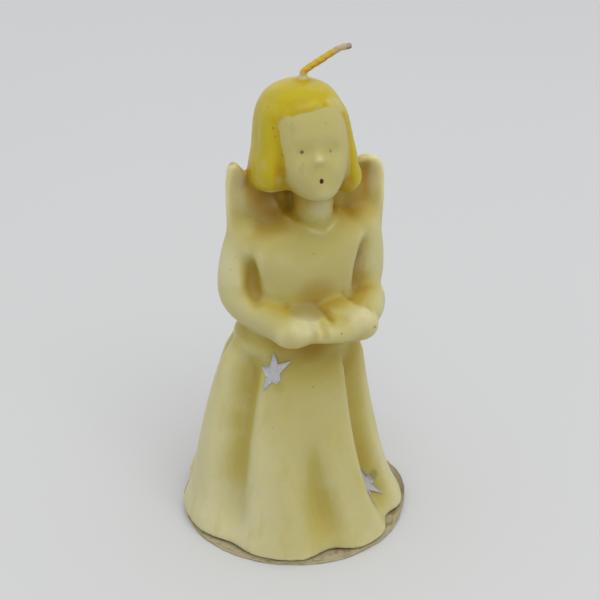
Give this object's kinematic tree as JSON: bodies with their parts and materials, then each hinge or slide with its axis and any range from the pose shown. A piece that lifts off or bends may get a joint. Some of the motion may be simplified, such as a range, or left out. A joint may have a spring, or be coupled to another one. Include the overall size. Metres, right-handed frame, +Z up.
{
  "type": "angel candle",
  "caption": "Figural wax candle shaped as a winged choir child in a fluted dress, hands at an open book, on a card disc, with foil stars and a bent wick.",
  "frame": {"origin": "centre of the card disc's underside, where the candle stands on a table", "axes": "+Z up along the figure, -Y the way the figure faces, +X towards the figure's left hand"},
  "size_m": [0.0601, 0.0616, 0.1254],
  "materials": {
    "wax": "cream wax, satin, slightly translucent, hair painted yellow",
    "wick": "braided cotton soaked in yellowed wax",
    "card": "bare grey-brown card, torn and curled edge",
    "foil": "dull scratched silver foil"
  },
  "bodies": {
    "root": {"wax_figure": "wax", "wick": "wick", "base_disc": "card", "star_upper": "foil", "star_lower": "foil"}
  },
  "joints": []
}
